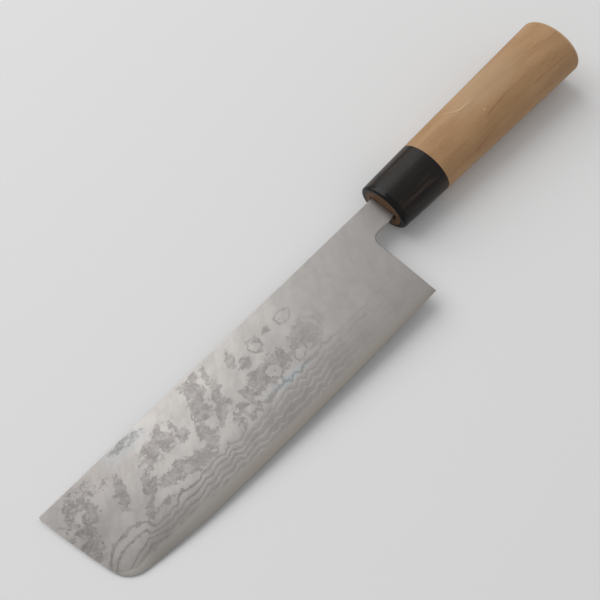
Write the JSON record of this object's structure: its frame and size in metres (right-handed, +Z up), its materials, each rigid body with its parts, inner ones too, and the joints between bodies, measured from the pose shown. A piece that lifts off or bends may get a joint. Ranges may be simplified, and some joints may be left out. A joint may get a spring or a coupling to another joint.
{
  "type": "nakiri knife",
  "caption": "Square-tipped Japanese vegetable knife lying on its side: three-layer damascus blade, tang set in a round-backed wooden handle, horn ferrule.",
  "frame": {"origin": "on the table, under the middle of the whole knife as it lies on its right side", "axes": "+X from the tip to the butt, +Y from the cutting edge to the spine, +Z up, out of the blade's left face; the knife lies as it comes to rest, with its tip a little lower than its butt"},
  "size_m": [0.2912, 0.0546, 0.0251],
  "materials": {
    "core_steel": "satin ground carbon steel, plain",
    "cladding": "satin, etched damascus layers",
    "handle_wood": "bare, finely sanded magnolia",
    "horn": "polished dark buffalo horn",
    "bedding_resin": "set dark resin"
  },
  "bodies": {
    "root": {"core_steel": "core_steel", "cladding_left": "cladding", "cladding_right": "cladding", "handle": "handle_wood", "ferrule": "horn", "tang_bedding": "bedding_resin"}
  },
  "joints": []
}
